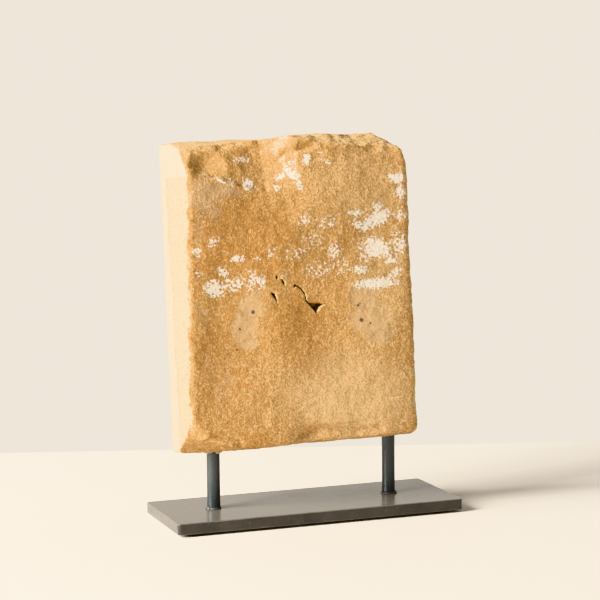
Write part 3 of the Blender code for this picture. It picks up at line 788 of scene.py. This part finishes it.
def blackened_steel(name, colour, roughness, metallic):
    """Hot-rolled steel with its mill scale, blackened and waxed.

    Near black to the front and bright at a glancing angle, with cloudy mill scale, specks of dust
    and paler metal on the arrises, partly rubbed metal and partly a painted highlight along the edges.
    """
    material, tree, shader = new_material(name)
    place = add_node(tree, "ShaderNodeTexCoord").outputs["Object"]
    clouds = add_node(tree, "ShaderNodeTexNoise", {
        "Vector": place, "Scale": 1 / (22 * MM), "Detail": 4.0, "Roughness": 0.6}).outputs["Fac"]
    specks = add_node(tree, "ShaderNodeTexNoise", {
        "Vector": place, "Scale": 1 / (1.8 * MM), "Detail": 2.0}).outputs["Fac"]
    dusty = add_node(tree, "ShaderNodeMapRange", {
        "Value": specks, "From Min": 0.66, "From Max": 0.74}, interpolation_type="SMOOTHSTEP")
    cloudy = add_node(tree, "ShaderNodeMapRange", {
        "Value": clouds, "From Min": 0.35, "From Max": 0.68, "To Min": 0.0, "To Max": 0.35})
    # Partly painted highlight: the plate's arrises are painted paler, as rubbed metal and as the light along
    # its edges
    wear_and_highlight = add_node(tree, "ShaderNodeAttribute", attribute_name="wear_and_highlight").outputs["Fac"]
    bare_and_highlight = add_node(tree, "ShaderNodeMath", {0: wear_and_highlight, 1: clouds}, operation="MULTIPLY")
    dust = add_node(tree, "ShaderNodeMath", {0: dusty.outputs["Result"], 1: 0.14}, operation="MULTIPLY")
    finish = tuple(colour)
    for share, tone in ((cloudy, "#55524C"), (bare_and_highlight, "#857F74"), (dust, "#B5AC9A")):
        finish = add_node(tree, "ShaderNodeMix", {
            0: share.outputs[0], MIX_A: finish, MIX_B: linear(tone)}, data_type="RGBA").outputs[MIX_OUT]
    tree.links.new(finish, shader.inputs["Base Color"])
    gloss = add_node(tree, "ShaderNodeMapRange", {
        "Value": clouds, "From Min": 0.3, "From Max": 0.7, "To Min": roughness - 0.04,
        "To Max": roughness + 0.06})
    tree.links.new(gloss.outputs["Result"], shader.inputs["Roughness"])
    shader.inputs["Metallic"].default_value = metallic
    shader.inputs["Sheen Weight"].default_value = 0.22
    shader.inputs["Sheen Roughness"].default_value = 0.4
    shader.inputs["Sheen Tint"].default_value = linear("#E8DFD0")
    bump = add_node(tree, "ShaderNodeBump", {"Height": clouds, "Strength": 0.25, "Distance": 0.2 * MM})
    tree.links.new(bump.outputs["Normal"], shader.inputs["Normal"])
    return material


class NICHE_OT_steel_plate(bpy.types.Operator):
    """Model the flat steel plate with its rounded corners and arrises painted paler, as rubbed metal and as a
    highlight.
    """

    bl_idname = "niche.steel_plate"
    bl_label = "Steel plate"

    def execute(self, context):
        settings = context.scene.niche_stand
        bpy.ops.mesh.primitive_cube_add(size=1.0, location=(PLATE_LOW + PLATE_HIGH) / 2)
        plate = named("steel_plate")
        plate.scale = PLATE_HIGH - PLATE_LOW
        bpy.ops.object.transform_apply(location=True, rotation=True, scale=True)

        def round_corners(piece):
            select_edges(piece, lambda one, other: abs(one.z - other.z) > MM)
            bpy.ops.mesh.bevel(offset=settings.corner_radius, segments=6, affect="EDGES")
            select_edges(piece, lambda one, other: abs(one.z - other.z) < 0.01 * MM)
            bpy.ops.mesh.bevel(offset=settings.arris, segments=3, affect="EDGES")
            select_flats(piece, FLAT_AREA)
            bpy.ops.mesh.inset(thickness=FLAT_BORDER, use_individual=True)

        in_edit_mode(plate, round_corners)
        margin = 0.05 * MM
        heights = mesh_points(plate)[0][:, 2]
        flat = (heights > PLATE_HIGH.z - margin) | (heights < PLATE_LOW.z + margin)
        upright = heights > PLATE_LOW.z + settings.arris - margin
        upright &= heights < PLATE_HIGH.z - settings.arris + margin
        # The arris faces are marked to be painted paler: partly rubbed metal, partly a painted highlight
        write_attribute(plate, "wear_and_highlight", ~(flat | upright))
        bpy.ops.object.shade_smooth_by_angle(angle=math.radians(50))
        finish = blackened_steel("waxed_blackened_plate", settings.steel, roughness=0.20, metallic=0.0)
        settle(plate, "base_plate", finish)
        return {"FINISHED"}


def shape_bar(piece):
    """In edit mode, bevel a bar's ends and give it rings along its length."""
    select_edges(piece, lambda one, other: abs(one.z - other.z) < 0.01 * MM)
    bpy.ops.mesh.bevel(offset=BAR_BEVEL, segments=2, affect="EDGES")
    select_edges(piece, lambda one, other: abs(one.z - other.z) > 10 * MM)
    bpy.ops.mesh.subdivide(number_cuts=BAR_RINGS)


class NICHE_OT_steel_posts(bpy.types.Operator):
    """Model the two round bars, a little uneven along their length as drawn bar is."""

    bl_idname = "niche.steel_posts"
    bl_label = "Steel posts"

    def execute(self, context):
        settings = context.scene.niche_stand
        finish = blackened_steel("blackened_round_bar", settings.post_steel, roughness=0.34, metallic=0.55)
        uneven = texture("drawn_bar", "CLOUDS", BAR_UNEVEN_SIZE, noise_depth=1)
        for side in ("left", "right"):
            low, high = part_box("post_" + side)
            bpy.ops.mesh.primitive_cylinder_add(vertices=64, radius=(high.x - low.x) / 2,
                                                depth=high.z - low.z, location=(low + high) / 2)
            post = named("steel_post_" + side)
            bpy.ops.object.transform_apply(location=True, rotation=True, scale=True)
            in_edit_mode(post, shape_bar)
            heights = mesh_points(post)[0][:, 2]
            shaft = (heights > low.z + BAR_PLAIN) & (heights < high.z - BAR_PLAIN)
            write_group(post, "shaft", shaft)
            work(post, "DISPLACE", texture=uneven, texture_coords="LOCAL", strength=BAR_UNEVEN,
                 mid_level=1.0, vertex_group="shaft")
            post.vertex_groups.clear()
            bpy.ops.object.shade_smooth_by_angle(angle=math.radians(50))
            settle(post, "post_" + side, finish)
        return {"FINISHED"}


# Sections of the beads, outer side first and anticlockwise: shares of their width and height
WELD_SECTION = ((1.0, 0.0), (0.96, 0.18), (0.84, 0.38), (0.62, 0.60), (0.38, 0.82), (0.16, 0.96),
                (0.0, 1.0), (0.0, 0.0))
RESIN_SECTION = ((1.0, 0.45), (1.0, 1.0), (0.0, 1.0), (0.0, 0.06), (0.3, 0.0), (0.6, 0.04), (0.85, 0.14),
                 (0.97, 0.28))

# Gap between a bead and its post, the least share of its section that is left, and its ripples:
# share, how many round a turn and start
BEAD_GAP = 0.1 * MM
BEAD_LEAST = 0.2
BEAD_RIPPLES = ((0.05, 9, 1.0), (0.04, 17, 0.0), (0.03, 29, 0.0))


def swelling(turn, place, width):
    """A round swelling at one place round a turn: 1 at its middle, 0 beyond its width."""
    away = abs((turn - math.radians(place) + math.pi) % (2 * math.pi) - math.pi)
    share = max(0.0, 1.0 - away / math.radians(width))
    return share * share * (3 - 2 * share)


def bead(name, node_name, post_name, section, least, swellings):
    """An uneven ring round a post, inside the box of its CAD node.

    A swelling is (place and width in degrees, size); least is the share left between them.
    """
    low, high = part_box(node_name)
    post_low, post_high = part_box(post_name)
    middle = (post_low + post_high) / 2
    inner = (post_high.x - post_low.x) / 2 + BEAD_GAP
    reach = min(high.x - middle.x, middle.x - low.x, high.y - middle.y, middle.y - low.y) - inner
    bpy.ops.mesh.primitive_torus_add(location=(middle.x, middle.y, 0.0), major_segments=96,
                                     minor_segments=len(section), major_radius=1.0, minor_radius=0.3)
    ring = named(name)
    hangs = section is RESIN_SECTION
    for vertex in ring.data.vertices:
        out, up = section[vertex.index % len(section)]
        turn = math.atan2(vertex.co.y, vertex.co.x)
        swell = sum(size * swelling(turn, place, width) for place, width, size in swellings)
        ripple = sum(height * math.sin(count * turn + start) for height, count, start in BEAD_RIPPLES)
        share = min(1.0, max(BEAD_LEAST, least + ripple + swell))
        height = (1.0 - (1.0 - up) * share) if hangs else up * share
        radius = inner + reach * out * (1.0 if hangs else share)
        vertex.co = (radius * math.cos(turn), radius * math.sin(turn),
                     low.z + (high.z - low.z) * height)
    only(ring)
    bpy.ops.object.shade_smooth_by_angle(angle=math.radians(60))
    return ring


class NICHE_OT_weld_beads(bpy.types.Operator):
    """Model the small weld beads where the bars meet the plate."""

    bl_idname = "niche.weld_beads"
    bl_label = "Weld beads"

    def execute(self, context):
        settings = context.scene.niche_stand
        finish = blackened_steel("blackened_weld", settings.weld_steel, roughness=0.48, metallic=0.2)
        for side, swellings in (("left", ((196, 50, 0.6), (262, 40, 0.3))),
                                ("right", ((-18, 45, 0.6), (250, 36, 0.25)))):
            weld = bead("weld_bead_" + side, "weld_" + side, "post_" + side, WELD_SECTION, 0.45, swellings)
            settle(weld, "weld_" + side, finish)
        return {"FINISHED"}


def set_resin(settings):
    """Sand-filled polyester resin: dull and grainy, dark on the right, partly darker resin and partly painted
    shade under the slab.
    """
    material, tree, shader = new_material("sanded_resin")
    place = add_node(tree, "ShaderNodeTexCoord").outputs["Object"]
    grains = add_node(tree, "ShaderNodeTexNoise", {
        "Vector": place, "Scale": 1 / (1.2 * MM), "Detail": 3.0}).outputs["Fac"]
    # Partly painted shade: the right bead is painted dark where it lies in the slab's shadow
    dark_resin_and_shade = add_node(tree, "ShaderNodeAttribute", attribute_name="dark_resin_and_shade").outputs["Fac"]
    finish = tuple(settings.resin)
    for share, tone in ((grains, "#A99467"), (dark_resin_and_shade, "#3A2F20")):
        finish = add_node(tree, "ShaderNodeMix", {
            0: share, MIX_A: finish, MIX_B: linear(tone)}, data_type="RGBA").outputs[MIX_OUT]
    tree.links.new(finish, shader.inputs["Base Color"])
    shader.inputs["Roughness"].default_value = 0.6
    bump = add_node(tree, "ShaderNodeBump", {"Height": grains, "Strength": 0.6, "Distance": 0.3 * MM})
    tree.links.new(bump.outputs["Normal"], shader.inputs["Normal"])
    return material


class NICHE_OT_resin_beads(bpy.types.Operator):
    """Model the resin that fills the mouths of the two sockets."""

    bl_idname = "niche.resin_beads"
    bl_label = "Resin beads"

    def execute(self, context):
        finish = set_resin(context.scene.niche_stand)
        for side, swellings in (("left", ((190, 80, 0.4), (300, 50, 0.3))), ("right", ((160, 50, 0.3),))):
            resin = bead("resin_bead_" + side, "resin_" + side, "post_" + side, RESIN_SECTION, 0.7, swellings)
            # the right bead gets the darker resin and the painted shade under the slab
            write_attribute(resin, "dark_resin_and_shade", np.full(len(resin.data.vertices), side == "right"))
            settle(resin, "resin_" + side, finish)
        return {"FINISHED"}


def pad_rubber(settings):
    """Moulded black rubber: matt, with a little dust in its skin."""
    material, tree, shader = new_material("moulded_rubber")
    place = add_node(tree, "ShaderNodeTexCoord").outputs["Object"]
    dust = add_node(tree, "ShaderNodeTexNoise", {"Vector": place, "Scale": 1 / (3 * MM), "Detail": 3.0})
    share = add_node(tree, "ShaderNodeMapRange", {
        "Value": dust.outputs["Fac"], "From Min": 0.4, "From Max": 0.8, "To Max": 0.2})
    finish = add_node(tree, "ShaderNodeMix", {
        0: share.outputs["Result"], MIX_A: tuple(settings.rubber), MIX_B: linear("#6E675C")},
        data_type="RGBA")
    tree.links.new(finish.outputs[MIX_OUT], shader.inputs["Base Color"])
    shader.inputs["Roughness"].default_value = 0.85
    return material


def round_foot(piece):
    """In edit mode, round the lower edge of a pad that stands about its own middle."""
    foot = 0.9 * min(vertex.co.z for vertex in piece.data.vertices)
    select_edges(piece, lambda one, other: one.z < foot and other.z < foot)
    bpy.ops.mesh.bevel(offset=0.6 * MM, segments=4, affect="EDGES")


class NICHE_OT_rubber_pads(bpy.types.Operator):
    """Model one round pad with a rounded foot and copy it to the other corners."""

    bl_idname = "niche.rubber_pads"
    bl_label = "Rubber pads"

    def execute(self, context):
        finish = pad_rubber(context.scene.niche_stand)
        first = None
        for place in ("left_front", "left_back", "right_front", "right_back"):
            low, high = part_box("pad_" + place)
            if first is None:
                bpy.ops.mesh.primitive_cylinder_add(vertices=48, radius=(high.x - low.x) / 2,
                                                    depth=high.z - low.z)
                pad = named("rubber_pad_" + place)
                in_edit_mode(pad, round_foot)
                bpy.ops.object.shade_smooth_by_angle(angle=math.radians(40))
                first = pad.data.copy()
            else:
                pad = bpy.data.objects.new("rubber_pad_" + place, first.copy())
                context.scene.collection.objects.link(pad)
            pad.location = (low + high) / 2
            settle(pad, "pad_" + place, finish)
        return {"FINISHED"}


# The camera's aim, the lamp's place, aim and size, and how bright the surround looks
CAMERA_AIM = Vector((-0.00247, 0.0, 0.19439))
LAMP_PLACE, LAMP_AIM, LAMP_SIZE = Vector((-2.14, -0.27, 1.12)), Vector((0.0, 0.0, 0.17)), 1.3
SHOWN_STRENGTH = 1.12

# The floor: width and depth, turn, and where it ends behind the object
FLOOR_WIDTH, FLOOR_DEPTH = 7.0, 4.0
FLOOR_TURN = math.radians(-17.27)
FLOOR_END = 0.320


def stage_lamp(settings):
    """The soft square lamp on the left."""
    lamp = bpy.data.lights.new("key_lamp", "AREA")
    lamp.shape = "SQUARE"
    lamp.size = LAMP_SIZE
    lamp.energy = settings.key_power
    lamp.color = linear("#FFFAF2")[:3]
    thing = bpy.data.objects.new("key_lamp", lamp)
    bpy.context.scene.collection.objects.link(thing)
    thing.location = LAMP_PLACE
    thing.rotation_mode = "QUATERNION"
    thing.rotation_quaternion = (LAMP_AIM - LAMP_PLACE).to_track_quat("-Z", "Y")


def stage_camera(settings):
    """The camera at the photograph's place and angle."""
    forward = Vector((math.sin(settings.yaw) * math.cos(settings.pitch),
                      math.cos(settings.yaw) * math.cos(settings.pitch), -math.sin(settings.pitch)))
    camera = bpy.data.cameras.new("camera")
    camera.sensor_width = 36.0
    camera.lens = settings.lens
    thing = bpy.data.objects.new("camera", camera)
    bpy.context.scene.collection.objects.link(thing)
    thing.location = CAMERA_AIM - settings.distance * forward
    thing.rotation_mode = "QUATERNION"
    thing.rotation_quaternion = forward.to_track_quat("-Z", "Y") @ Quaternion((0, 0, 1), settings.roll)
    bpy.context.scene.camera = thing


def stage_floor(settings):
    """A plain pale floor that ends behind the object."""
    bpy.ops.mesh.primitive_plane_add(size=1.0, location=(0.0, 0.0, 0.0))
    floor = named("pale_floor")
    floor.scale = (FLOOR_WIDTH, FLOOR_DEPTH, 1.0)
    floor.rotation_euler.z = FLOOR_TURN
    backwards = Vector((-math.sin(FLOOR_TURN), math.cos(FLOOR_TURN), 0.0))
    floor.location = backwards * (FLOOR_END - FLOOR_DEPTH / 2)
    material, _, shader = new_material("limewashed_floor")
    shader.inputs["Base Color"].default_value = settings.floor
    shader.inputs["Roughness"].default_value = 0.85
    floor.data.materials.append(material)


def stage_surround(settings):
    """Pale surround: bright to the eye and in gloss, softer as diffuse fill."""
    world = bpy.data.worlds.new("pale_surround")
    world.use_nodes = True
    tree = world.node_tree
    shown = tree.nodes["Background"]
    shown.inputs["Color"].default_value = settings.surround
    shown.inputs["Strength"].default_value = SHOWN_STRENGTH
    fill = add_node(tree, "ShaderNodeBackground",
                    {"Color": tuple(settings.surround), "Strength": settings.fill})
    path = add_node(tree, "ShaderNodeLightPath")
    mixed = add_node(tree, "ShaderNodeMixShader", {0: path.outputs["Is Diffuse Ray"],
                                                   1: shown.outputs[0], 2: fill.outputs[0]})
    tree.links.new(mixed.outputs[0], tree.nodes["World Output"].inputs["Surface"])
    bpy.context.scene.world = world


class NICHE_OT_stage(bpy.types.Operator):
    """Set up the camera, the floor and the soft light."""

    bl_idname = "niche.stage"
    bl_label = "Stage"

    def execute(self, context):
        settings = context.scene.niche_stage
        stage_camera(settings)
        stage_floor(settings)
        stage_surround(settings)
        stage_lamp(settings)
        context.scene.view_settings.view_transform = "Khronos PBR Neutral"
        return {"FINISHED"}


class NICHE_PT_panel(bpy.types.Panel):
    """Lists the niche's pieces in the sidebar."""

    bl_label = "Stone wall niche"
    bl_space_type = "VIEW_3D"
    bl_region_type = "UI"
    bl_category = "Niche"

    def draw(self, context):
        for operator in OPERATORS:
            self.layout.operator(operator.bl_idname)
        for settings in (context.scene.niche_stone, context.scene.niche_stand,
                         context.scene.niche_stage):
            box = self.layout.box()
            for name in settings.__annotations__:
                box.prop(settings, name)


OPERATORS = (NICHE_OT_stage, NICHE_OT_carved_stone, NICHE_OT_steel_plate, NICHE_OT_steel_posts,
             NICHE_OT_weld_beads, NICHE_OT_resin_beads, NICHE_OT_rubber_pads)
SETTINGS = {"niche_stone": StoneSettings, "niche_stand": StandSettings, "niche_stage": StageSettings}


def register():
    for kind in (*SETTINGS.values(), *OPERATORS, NICHE_PT_panel):
        bpy.utils.register_class(kind)
    for name, kind in SETTINGS.items():
        setattr(bpy.types.Scene, name, PointerProperty(type=kind))


def unregister():
    for name in SETTINGS:
        delattr(bpy.types.Scene, name)
    for kind in (NICHE_PT_panel, *reversed(OPERATORS), *SETTINGS.values()):
        bpy.utils.unregister_class(kind)


def main():
    """Build everything in order."""
    register()
    bpy.ops.niche.stage()
    bpy.ops.niche.carved_stone()
    bpy.ops.niche.steel_plate()
    bpy.ops.niche.steel_posts()
    bpy.ops.niche.weld_beads()
    bpy.ops.niche.resin_beads()
    bpy.ops.niche.rubber_pads()


if __name__ == "__main__":
    main()
